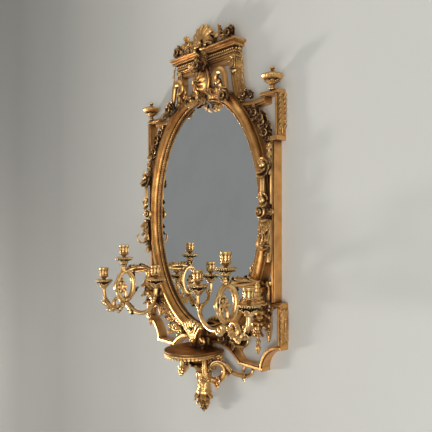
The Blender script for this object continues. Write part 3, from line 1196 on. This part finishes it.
@carved("branch")
def outer_arm(s):
    outs = (vec(0, 0, -1), vec(0.75, -0.65, 0), vec(-0.75, 0.65, 0))
    leaves = ((0.0, 50), (0.28, 48), (0.56, 42))
    line, _, azimuth, start = candle_arm(s, "outer", 26, (0, 0.45, 1),
        (9.6, 9.2, 6.6), leaves, outs)
    x, z = line[20]
    curl = route((x, z + 2), 60, [("turn", 26, 22, 150), ("turn", 20, 12, 190)], 7)
    wind = upright(curl, start, azimuth)
    bar(s, wind, (7.6, 5.0), 18, ribs=3, rib=0.08)
    ball(s, wind[-1], 7.6, fine=14)


@carved("branch")
def inner_arm(s):
    outs = (vec(0, 0, -1), vec(0.2, -1, 0), vec(-0.2, 1, 0))
    _, path, _, _ = candle_arm(s, "inner", 30, (0, 0.5, 1), (9.4, 8.0, 6.2), ((0.0, 50),), outs)
    k = int(0.8 * (len(path) - 1))
    for out in level(4):
        standing_leaf(s, path[k] + out * 5, out, 1, 0.16, 32, 17, lobes=3, curl=44, cup=0.4)


@carved("branch")
def drip_pans(s):
    for seat in LIGHTS.values():
        place = Spot(seat)
        turned(s, place, [(3.4, 0.2), (11, 0), (16, 0.4), (22, 0.9), (27, 2.6), (31, 5.4),
            (33, 7.4), (33.8, 8.6), (33.6, 9.8), (32, 10), (30, 8.6), (26, 5.6), (21, 3.8), (13, 3),
            (3.4, 3)], 112, flutes=28, depth=0.05, between=(0.8, 8))
        for out in level(28):
            ball(s, seat + out * 31.4 + vec(0, 0, 5.6), 2.7, (1, 1, 1.1), 8)
        for out in level(9):
            under = Spot(seat + out * 9 - vec(0, 0, 1), np.cross((0, 0, 1), out),
                out + vec(0, 0, -0.12))
            leaf(s, under, 21, 13, lobes=3, curl=-25, cup=-0.25, across=7, thick=1.4)


def nozzles():
    """Six lift-out nozzles, each riding on its own body."""
    for name, seat in LIGHTS.items():
        s = Shape()
        place = Spot(seat)
        outer = [(0, -5), (2.9, -5), (3.1, 3.1), (12, 3.1), (12.6, 4.6), (11.6, 6.4), (8, 8),
            (5.4, 10), (5.2, 12), (7.4, 14), (8.2, 15.6), (7.6, 17), (10, 18.6), (14, 21),
            (16.6, 24.4), (17.2, 26.4), (16.2, 27.6), (15, 29), (14.6, 36), (14.9, 44), (15.6, 48),
            (17.2, 49.6), (17.9, 51), (17.2, 52.4), (18.2, 54), (18.5, 56), (18, 57), (12.4, 57),
            (11.5, 56), (11.5, 27), (0, 27)]
        turned(s, place, outer, 64, flutes=16, depth=0.07, between=(28, 47.5))
        for out in level(8):
            standing_leaf(s, seat + out * 14.6 + vec(0, 0, 27), out, 1, 0.04, 22, 9.6, lobes=2,
                notch=0.1, curl=10, cup=0.5, across=7, thick=2.4)
            standing_leaf(s, seat + out * 6.4 + vec(0, 0, 16), out, 1, 1.2, 14, 9.5, lobes=2,
                notch=0.15, curl=40, cup=0.35, across=7, thick=1.6)
        for side, form in (("right", s), ("left", s.mirrored())):
            body = f"nozzle_{name}_{side}"
            make(form, f"fluted_{body}", METAL, body, body)


nozzles()


# ---------------------------------------------------------------- room, light and camera


def stage_plane(name, corners, colour, variation, *levels):
    """A plain surface of the room, seen from its front. levels are (share of X, tone) stops."""
    mesh = bpy.data.meshes.new(name)
    mesh.from_pydata(corners, [], [(0, 1, 2, 3)])
    made = bpy.data.objects.new(name, mesh)
    bpy.context.scene.collection.objects.link(made)
    material = bpy.data.materials.new(name)
    material.use_nodes = True
    tree = material.node_tree
    surface = next(n for n in tree.nodes if n.type == "BSDF_PRINCIPLED")
    out = next(n for n in tree.nodes if n.type == "OUTPUT_MATERIAL")
    spots = node(tree, "TexCoord").outputs["Object"]
    cloud = noise(tree, spots, 1.4, 4.0)
    rough = noise(tree, spots, 45.0, 5.0)
    tone = mixed(tree, ramp(tree, cloud, (0.3, 0.0), (0.7, 1.0)), colour,
        [c * variation for c in colour])
    across = node(tree, "SeparateXYZ", {0: spots}).outputs["X"]
    share = node(tree, "MapRange", {0: across, 1: -2.0, 2: 1.0}).outputs[0]
    if levels:
        tone = mixed(tree, 1.0, tone, ramp(tree, share, *levels), "MULTIPLY")
    bump = node(tree, "Bump", {"Height": rough, "Strength": 0.12, "Distance": 0.001}).outputs[0]
    set_inputs(tree, surface, Base_Color=tone, Roughness=0.9, Normal=bump)
    behind = node(tree, "NewGeometry").outputs["Backfacing"]
    clear = node(tree, "BsdfTransparent").outputs[0]
    blend = node(tree, "MixShader", {0: behind, 1: surface.outputs[0], 2: clear}).outputs[0]
    tree.links.new(blend, out.inputs["Surface"])
    mesh.materials.append(material)
    return made


SIDE, FRONT, BEHIND, FLOOR, CEILING = 3.5, -4.5, 0.001, -1.75, 2.4
foot_line = [(-SIDE, BEHIND, FLOOR), (SIDE, BEHIND, FLOOR)]
wall_plane = stage_plane("wall_plane", foot_line + [(SIDE, BEHIND, CEILING),
    (-SIDE, BEHIND, CEILING)], (0.61, 0.615, 0.585), 0.95, (0.03, 0.27), (0.235, 0.38),
    (0.48, 0.66), (0.60, 0.86), (0.85, 1.0))
wall_plane.visible_shadow = False
wall_plane.visible_diffuse = False
stage_plane("floor_plane", [(-SIDE, FRONT, FLOOR), (SIDE, FRONT, FLOOR)] + foot_line[::-1],
    (0.60, 0.595, 0.58), 0.96)


def area_light(name, spot, target, size, power, colour):
    lamp = bpy.data.lights.new(name, "AREA")
    lamp.shape, lamp.size, lamp.energy, lamp.color = "DISK", size, power, colour
    made = bpy.data.objects.new(name, lamp)
    made.location = spot
    aim = Vector(target) - Vector(spot)
    made.rotation_euler = aim.to_track_quat("-Z", "Y").to_euler()
    bpy.context.scene.collection.objects.link(made)


area_light("key_light", (-3.50, -1.60, -1.55), (0.05, 0, 0.05), 0.66, 108, (1.0, 0.95, 0.88))
area_light("fill_light", (2.1, -2.2, -1.2), (0.3, 0, -0.1), 1.8, 30, (0.98, 0.98, 1.0))

world = bpy.data.worlds.new("room")
bpy.context.scene.world = world
world.use_nodes = True
sky = world.node_tree
backdrop = next(n for n in sky.nodes if n.type == "BACKGROUND")
way = node(sky, "TexCoord").outputs["Generated"]
light = (0.12, 0.12, 0.12)
for aim, first, last, glow in (((-0.766, -0.643, 0.0), 0.55, 0.85, (0.25, 0.255, 0.25)),
        ((-0.45, -0.46, -0.765), 0.935, 0.985, (3.6, 3.4, 3.1)), ((0.62, -0.76, -0.18), 0.90, 0.98,
        (2.5, 2.4, 2.25)), ((-0.20, -0.50, 0.84), 0.88, 0.97, (0.8, 0.8, 0.78)),
        ((0.0, 1.0, 0.2), 0.66, 0.90, (0.75, 0.75, 0.73))):
    near = node(sky, "VectorMath", {0: way, 1: aim}, operation="DOT_PRODUCT").outputs["Value"]
    share = node(sky, "MapRange", {0: near, 1: -1.0, 2: 1.0}).outputs[0]
    light = mixed(sky, ramp(sky, share, (first, 0.0), (last, 1.0)), light, glow)
light = mixed(sky, node(sky, "LightPath").outputs["Is Camera Ray"], light, (0.52, 0.52, 0.50))
sky.links.new(light, backdrop.inputs["Color"])
backdrop.inputs["Strength"].default_value = 1.0

scene = bpy.context.scene
scene.view_settings.view_transform = "Standard"
lens = bpy.data.cameras.new("camera")
lens.lens, lens.sensor_width, lens.shift_y = 45.33, 36.0, 0.0104
camera = bpy.data.objects.new("camera", lens)
camera.location = (1.5226, -1.256, -0.027)
camera.rotation_euler = (math.pi / 2, 0, math.atan2(0.766, 0.643))
scene.collection.objects.link(camera)
scene.camera = camera
